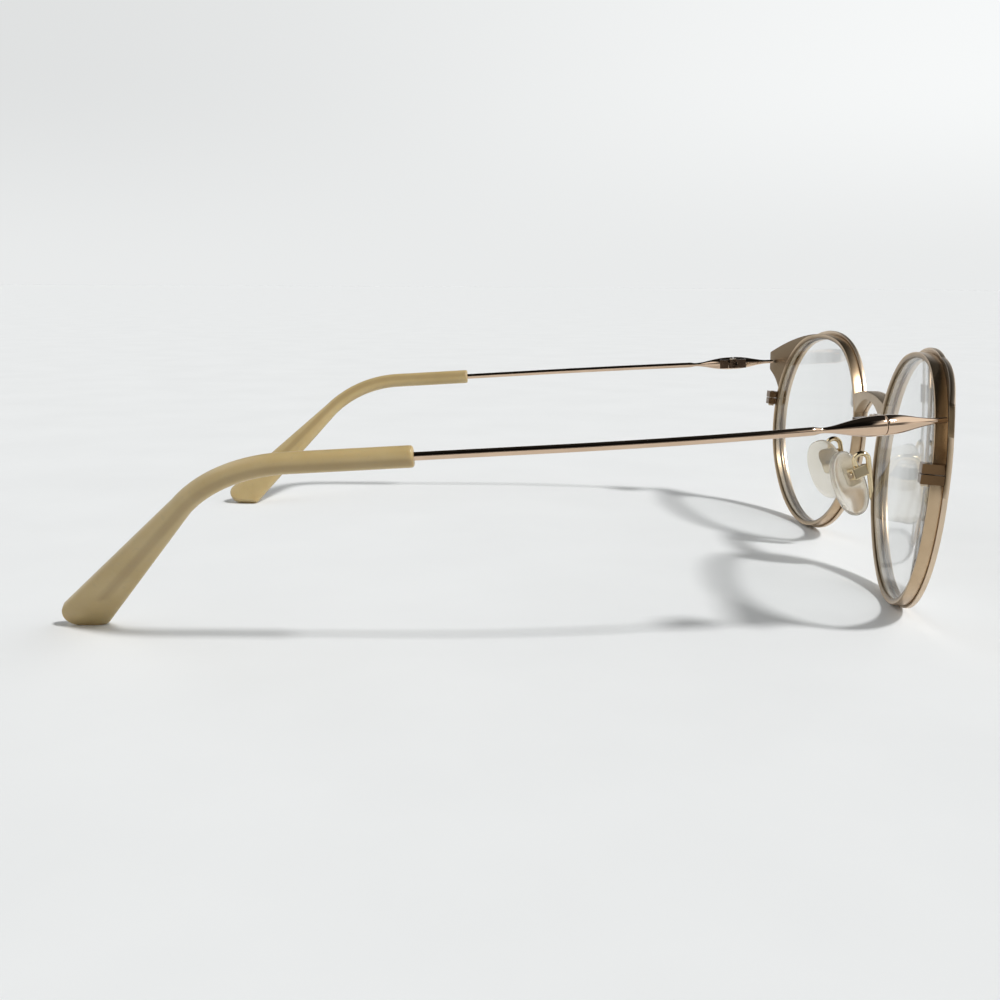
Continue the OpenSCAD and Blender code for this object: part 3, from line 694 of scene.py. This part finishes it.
# Materials
class Nodes:
    """Short calls for building one material's nodes."""

    def __init__(self, name):
        self.material = bpy.data.materials.new(name)
        self.material.use_nodes = True
        self.tree = self.material.node_tree
        self.tree.nodes.clear()
        self.output = self.tree.nodes.new("ShaderNodeOutputMaterial")

    def add(self, kind, **values):
        node = self.tree.nodes.new("ShaderNode" + kind)
        for key, value in values.items():
            setattr(node, key, value)
        return node

    def link(self, source, target):
        self.tree.links.new(source, target)

    def coordinates(self, scale=(1, 1, 1)):
        """Places on the piece in metres, each axis times its own scale."""
        mapping = self.add("Mapping")
        mapping.inputs["Scale"].default_value = scale
        self.link(self.add("TexCoord").outputs["Object"], mapping.inputs["Vector"])
        return mapping.outputs["Vector"]

    def noise(self, scale, detail, stretch=(1, 1, 1)):
        """Soft noise; its scale is about how many patches go into a metre."""
        node = self.add("TexNoise")
        node.inputs["Scale"].default_value = scale
        node.inputs["Detail"].default_value = detail
        self.link(self.coordinates(stretch), node.inputs["Vector"])
        return node.outputs["Fac"]

    def ramp(self, value, stops):
        """A colour for a value, between two stops of a value and a colour."""
        node = self.add("ValToRGB")
        for element, (at, colour) in zip(node.color_ramp.elements, stops):
            element.position = at
            element.color = (*colour, 1)
        self.link(value, node.inputs["Fac"])
        return node.outputs["Color"]

    def drift(self, scale, detail, dark, light):
        """A colour that drifts between two shades in soft patches."""
        return self.ramp(self.noise(scale, detail), ((0.3, dark), (0.7, light)))

    def spread(self, value, low, high, start=0, end=1):
        """A value from start to end spread over low to high."""
        node = self.add("MapRange")
        for key, limit in (("From Min", start), ("From Max", end), ("To Min", low), ("To Max", high)):
            node.inputs[key].default_value = limit
        self.link(value, node.inputs["Value"])
        return node.outputs["Result"]

    def marked(self):
        """The share that a piece's mark gives each of its points."""
        return self.add("Attribute", attribute_name="mark").outputs["Fac"]

    def mix(self, share, under, colour, blend_type="MIX"):
        """One plain colour laid over what is under it."""
        node = self.add("MixRGB", blend_type=blend_type)
        self.link(share, node.inputs["Fac"])
        self.link(under, node.inputs["Color1"])
        node.inputs["Color2"].default_value = (*colour, 1)
        return node.outputs["Color"]

    def maths(self, operation, first, second):
        """Two values joined, and held between 0 and 1."""
        node = self.add("Math", operation=operation, use_clamp=True)
        self.link(first, node.inputs[0])
        self.link(second, node.inputs[1])
        return node.outputs["Value"]

    def blend(self, share, first, second):
        """A share of a second shader in a first one."""
        node = self.add("MixShader")
        self.link(share, node.inputs["Fac"])
        self.link(first, node.inputs[1])
        self.link(second, node.inputs[2])
        return node.outputs["Shader"]

    def bump(self, value, strength, distance):
        """A texture whose height is given in metres."""
        node = self.add("Bump")
        node.inputs["Strength"].default_value = strength
        node.inputs["Distance"].default_value = distance
        self.link(value, node.inputs["Height"])
        return node.outputs["Normal"]

    def finished(self, shader):
        """The material, with this shader as its surface."""
        self.link(shader, self.output.inputs["Surface"])
        return self.material


def srgb(r, g, b):
    """A colour given in 0 to 255 display values, as the shader wants it."""
    return tuple(((c / 255 + 0.055) / 1.055) ** 2.4 if c > 10 else c / 255 / 12.92 for c in (r, g, b))


def metal(name, dark, light, rough_low, rough_high, grain=(1, 1, 1), bump=0.04, darkening=None):
    """Plated metal: a slow colour drift, fine grain in its roughness, a trace of texture, and a darker
    colour where the piece is marked, which is painted shade on the rim wire's inner side."""
    n = Nodes(name)
    shader = n.add("BsdfPrincipled")
    shader.inputs["Metallic"].default_value = 1.0
    colour = n.drift(220, 3, dark, light)
    # Where the piece is marked, its colour turns darker; on the rim wire this is painted shade
    if darkening:
        colour = n.mix(n.marked(), colour, darkening)
    n.link(colour, shader.inputs["Base Color"])
    fine = n.noise(5200, 5, grain)
    n.link(n.spread(fine, rough_low, rough_high), shader.inputs["Roughness"])
    n.link(n.bump(fine, bump, 0.00004), shader.inputs["Normal"])
    return n.finished(shader.outputs["BSDF"])


def tip_plastic():
    """Translucent beige plastic with faint specks: the metal core shows softly through the middle, and a
    painted shade darkens the colour a little towards the ground."""
    n = Nodes("tip_plastic")
    shader = n.add("BsdfPrincipled")
    cloud = n.drift(160, 3, srgb(183, 161, 114), srgb(192, 171, 126))
    speck = n.ramp(n.noise(1500, 2), ((0.6, (0, 0, 0)), (0.7, (1, 1, 1))))
    colour = n.mix(n.spread(n.marked(), 0, 0.5), cloud, srgb(148, 125, 86))
    colour = n.mix(n.spread(speck, 0, 0.12), colour, srgb(140, 132, 120))
    height = n.add("SeparateXYZ")
    n.link(n.coordinates(), height.inputs["Vector"])
    # Painted shade: the colour darkens towards the ground, most below 13 mm and not at all above 27 mm
    deepest_below, unchanged_above = 0.013, 0.027
    low = n.spread(height.outputs["Z"], 0.15, 0, deepest_below, unchanged_above)
    colour = n.mix(low, colour, (0.7, 0.68, 0.66), "MULTIPLY")
    n.link(colour, shader.inputs["Base Color"])
    n.link(n.spread(n.noise(900, 4), 0.26, 0.36), shader.inputs["Roughness"])
    shader.inputs["Subsurface Weight"].default_value = 0.45
    shader.inputs["Subsurface Radius"].default_value = (1.0, 0.75, 0.45)
    shader.inputs["Subsurface Scale"].default_value = 0.0015
    shader.inputs["IOR"].default_value = 1.48
    n.link(n.bump(n.noise(2600, 3), 0.05, 0.00005), shader.inputs["Normal"])
    return n.finished(shader.outputs["BSDF"])


def lens_plastic():
    """Clear lens: lets light and shadow rays straight through and mirrors a little at a slant. Its ground
    edge is frosted."""
    n = Nodes("clear_lens")
    through = n.add("BsdfTransparent")
    n.link(n.drift(60, 2, (0.975, 0.98, 0.978), (0.982, 0.985, 0.983)), through.inputs["Color"])
    mirror = n.add("BsdfGlossy")
    mirror.inputs["Roughness"].default_value = 0.05
    fresnel = n.add("Fresnel")
    fresnel.inputs["IOR"].default_value = 1.4
    front_only = n.maths("SUBTRACT", fresnel.outputs["Fac"], n.add("NewGeometry").outputs["Backfacing"])
    smudges = n.maths("MULTIPLY", front_only, n.spread(n.noise(110, 3, (1, 1, 0.35)), 0.3, 3.0))
    ground = n.marked()
    polished = n.maths("MULTIPLY", smudges, n.spread(ground, 1, 0.25))
    clear = n.blend(polished, through.outputs["BSDF"], mirror.outputs["BSDF"])
    frost = n.add("BsdfPrincipled")
    n.link(n.drift(800, 3, srgb(214, 203, 180), srgb(226, 217, 198)), frost.inputs["Base Color"])
    frost.inputs["Roughness"].default_value = 0.45
    return n.finished(n.blend(n.spread(ground, 0, 0.4), clear, frost.outputs["BSDF"]))


def pad_silicone():
    """Soft clear plastic of the nose pads."""
    n = Nodes("clear_pad")
    shader = n.add("BsdfPrincipled")
    n.link(n.drift(300, 3, srgb(244, 238, 226), srgb(250, 246, 238)), shader.inputs["Base Color"])
    n.link(n.spread(n.noise(1400, 3), 0.12, 0.22), shader.inputs["Roughness"])
    shader.inputs["Transmission Weight"].default_value = 0.82
    shader.inputs["IOR"].default_value = 1.36
    n.link(n.bump(n.noise(1800, 2), 0.04, 0.00005), shader.inputs["Normal"])
    return n.finished(shader.outputs["BSDF"])


def insert_plastic():
    """Stiffer, slightly yellow plastic of the insert inside each nose pad."""
    n = Nodes("pad_insert")
    shader = n.add("BsdfPrincipled")
    n.link(n.drift(500, 3, srgb(236, 226, 204), srgb(243, 235, 216)), shader.inputs["Base Color"])
    n.link(n.spread(n.noise(1400, 3), 0.2, 0.3), shader.inputs["Roughness"])
    shader.inputs["Transmission Weight"].default_value = 0.85
    shader.inputs["IOR"].default_value = 1.38
    return n.finished(shader.outputs["BSDF"])


ROSE = metal("rose_gold", srgb(208, 181, 156), srgb(220, 193, 168), 0.04, 0.08, (1, 0.15, 1))
SHEET_GOLD = metal("satin_gold_sheet", srgb(201, 181, 157), srgb(215, 195, 170), 0.3, 0.4, bump=0.06,
                   darkening=srgb(124, 106, 82))
# The rim wire's darker colour on its inner side is painted shade
RIM_GOLD = metal("rim_gold", srgb(182, 158, 128), srgb(197, 173, 142), 0.24, 0.34, darkening=srgb(126, 108, 84))
TAUPE = metal("taupe_metal", srgb(178, 162, 141), srgb(192, 176, 154), 0.42, 0.55, bump=0.1)
BRIGHT_GOLD = metal("bright_gold", srgb(216, 196, 158), srgb(230, 212, 176), 0.08, 0.14)
DARK_GOLD = metal("dark_gold", srgb(92, 71, 50), srgb(110, 86, 61), 0.16, 0.26)
HINGE_METAL = metal("hinge_metal", srgb(66, 52, 41), srgb(84, 67, 54), 0.22, 0.32)
SCREW_METAL = metal("screw_metal", srgb(176, 160, 138), srgb(192, 176, 154), 0.18, 0.28, (0.2, 1, 1))
TIP = tip_plastic()
LENS = lens_plastic()
PAD = pad_silicone()
INSERT = insert_plastic()


# The object
def dress(obj, material, body, node):
    """Gives a new piece its material and its body, and hides the CAD node that it stands for, if any."""
    obj.data.materials.append(material)
    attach(obj, body)
    if node:
        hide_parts(node)


def finish_cad(node, material, bevel):
    """A CAD node that keeps its shape: welded, with softened edges and its own finish."""
    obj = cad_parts[node]
    obj.data.materials.clear()
    obj.data.materials.append(material)
    weld = obj.modifiers.new("weld", "WELD")
    weld.merge_threshold = 0.01 * MM
    soft = obj.modifiers.new("soft_edges", "BEVEL")
    soft.width = bevel * MM
    soft.segments = 4
    soft.limit_method = "ANGLE"
    soft.angle_limit = math.radians(40)


dress(front_sheet(), SHEET_GOLD, "front", "front_plate")
dress(bridge_arch(), TAUPE, "front", "bridge")
for SIDE, HAND in ((1, "left"), (-1, "right")):
    ARM_BODY = HAND + "_temple_arm"
    dress(rim_wire(HAND + "_rim_wire", SIDE), RIM_GOLD, "front", HAND + "_eyewire")
    dress(clear_lens(HAND + "_clear_lens", SIDE), LENS, "front", HAND + "_lens")
    dress(front_barrel(HAND + "_front_barrel", SIDE), ROSE, "front", HAND + "_endpiece")
    dress(temple_wire(HAND + "_temple_wire", SIDE), ROSE, ARM_BODY, HAND + "_temple")
    dress(temple_tip(HAND + "_temple_tip", SIDE), TIP, ARM_BODY, HAND + "_tip")
    dress(pad_wire(HAND + "_pad_wire", SIDE), BRIGHT_GOLD, "front", HAND + "_pad_arm")
    dress(soft_pad(HAND + "_soft_pad", SIDE), PAD, HAND + "_pad", HAND + "_nose_pad")
    dress(pad_core(HAND + "_pad_core", SIDE), INSERT, HAND + "_pad", None)
    for PART, MATERIAL, BEVEL in (("lock_upper", DARK_GOLD, 0.12), ("lock_lower", DARK_GOLD, 0.12),
                                  ("lock_screw", SCREW_METAL, 0.05), ("pad_box", BRIGHT_GOLD, 0.42),
                                  ("pad_screw", SCREW_METAL, 0.05), ("front_leaf", HINGE_METAL, 0.08),
                                  ("temple_leaf", HINGE_METAL, 0.08), ("hinge_screw", SCREW_METAL, 0.05)):
        finish_cad(HAND + "_" + PART, MATERIAL, BEVEL)


# Studio
def studio_floor():
    """A pale round floor, in rings of faces whose radii are given in metres."""
    radii = [0.001, 0.15, 0.3, 0.6, 1.2, 2.5, 5, 9]
    count = 96
    verts = [(r * x, r * y, 0) for r in radii for x, y in circle(1, count)]
    faces = []
    for inner in range(0, count * (len(radii) - 1), count):
        outer = inner + count
        for k in range(count):
            q = (k + 1) % count
            faces.append((inner + k, inner + q, outer + q, outer + k))
    faces.append(tuple(reversed(range(count))))
    mesh = bpy.data.meshes.new("studio_floor")
    mesh.from_pydata(verts, [], faces)
    obj = bpy.data.objects.new("studio_floor", mesh)
    bpy.context.scene.collection.objects.link(obj)
    n = Nodes("studio_floor")
    shader = n.add("BsdfPrincipled")
    n.link(n.drift(30, 4, srgb(232, 233, 233), srgb(235, 236, 236)), shader.inputs["Base Color"])
    shader.inputs["Roughness"].default_value = 0.9
    shader.inputs["Specular IOR Level"].default_value = 0.0
    mesh.materials.append(n.finished(shader.outputs["BSDF"]))


def key_light(direction, strength, angle):
    """A soft distant lamp; direction points from the object to the lamp, and angle is in degrees."""
    data = bpy.data.lights.new("key_light", "SUN")
    data.energy = strength
    data.angle = math.radians(angle)
    obj = bpy.data.objects.new("key_light", data)
    obj.rotation_mode = "QUATERNION"
    obj.rotation_quaternion = (-Vector(direction)).to_track_quat("-Z", "Y")
    bpy.context.scene.collection.objects.link(obj)


def world_light(pale, dark, box):
    """The room that the metal mirrors: a pale wall behind the object, a soft box high on each side, darkness
    above, and a dim room with pale flanks on the camera's side. What is seen straight or through something
    clear is a pale backdrop, which is a little lighter on the side that the glasses face."""
    world = bpy.data.worlds.new("studio_world")
    bpy.context.scene.world = world
    world.use_nodes = True
    tree = world.node_tree
    tree.nodes.clear()

    def node(kind, **values):
        made = tree.nodes.new("ShaderNode" + kind)
        for key, value in values.items():
            setattr(made, key, value)
        return made

    def ease(source, low, high, to_low, to_high):
        made = node("MapRange", interpolation_type="SMOOTHSTEP")
        for key, value in (("From Min", low), ("From Max", high), ("To Min", to_low), ("To Max", to_high)):
            made.inputs[key].default_value = value
        tree.links.new(source, made.inputs["Value"])
        return made.outputs["Result"]

    def maths(operation, *sources):
        made = node("Math", operation=operation)
        for i, source in enumerate(sources):
            if isinstance(source, float):
                made.inputs[i].default_value = source
            else:
                tree.links.new(source, made.inputs[i])
        return made.outputs["Value"]

    split = node("SeparateXYZ")
    tree.links.new(node("TexCoord").outputs["Generated"], split.inputs["Vector"])
    # How far a direction points away from the camera, along the temples and up, each from -1 to 1
    away, along, up = (split.outputs[axis] for axis in "XYZ")
    sides = maths("ABSOLUTE", along)
    # The backdrop, which turns lighter to one side and darker to the other above the horizon
    slant = maths("MULTIPLY", ease(along, -0.5, 0.5, 0.13, -0.08), ease(up, 0, 0.16, 0, 1))
    seen = maths("ADD", slant, pale)
    # The wall: the same behind the object, a fifth of it on the camera's side, and dark high up
    around = maths("MULTIPLY", seen, ease(away, -0.5, 0.1, 0.2, 1))
    wall = maths("MULTIPLY", around, ease(up, 0.2, 0.42, 1, dark))
    # The soft boxes high on both sides, and the flanks far to the sides of the camera
    boxes = maths("MULTIPLY", ease(sides, 0.42, 0.56, 0, box), ease(up, 0.3, 0.45, 0, 1))
    flanks = maths("MULTIPLY", ease(sides, 0.78, 0.92, 0, 0.9), ease(away, -0.1, 0.1, 1, 0))
    light = maths("ADD", wall, maths("ADD", boxes, flanks))
    # Rays from the camera and through clear pieces meet the backdrop, and all others the room
    path = node("LightPath").outputs
    direct = maths("MAXIMUM", path["Is Camera Ray"], path["Is Transmission Ray"])
    unseen = maths("MULTIPLY", light, maths("SUBTRACT", 1.0, direct))
    background = node("Background")
    tree.links.new(maths("ADD", unseen, maths("MULTIPLY", seen, direct)), background.inputs["Strength"])
    tree.links.new(background.outputs["Background"], node("OutputWorld").inputs["Surface"])
    background.inputs["Color"].default_value = (0.985, 1.0, 1.0, 1)


def photo_camera():
    """The camera that was fitted to the photograph. Its place is in metres."""
    data = bpy.data.cameras.new("camera")
    data.sensor_width = 36
    data.lens = 42.14
    data.clip_start, data.clip_end = 0.01, 20
    cam = bpy.data.objects.new("camera", data)
    right = Vector((0.027224, -0.999613, 0.005744))
    up = Vector((0.184737, 0.010678, 0.982730))
    forward = Vector((0.982411, 0.025692, -0.184957))
    eye = (-0.234965, (60.327 + CENTRE_SHIFT) * MM, 0.055655)
    cam.matrix_world = Matrix((
        (right.x, up.x, -forward.x, eye[0]),
        (right.y, up.y, -forward.y, eye[1]),
        (right.z, up.z, -forward.z, eye[2]),
        (0, 0, 0, 1)))
    bpy.context.scene.collection.objects.link(cam)
    bpy.context.scene.camera = cam


studio_floor()
world_light(pale=0.83, dark=0.025, box=1.15)
key_light(direction=(-0.45, -0.7, 1.0), strength=2.25, angle=7)
photo_camera()
bpy.context.scene.view_settings.view_transform = "Standard"
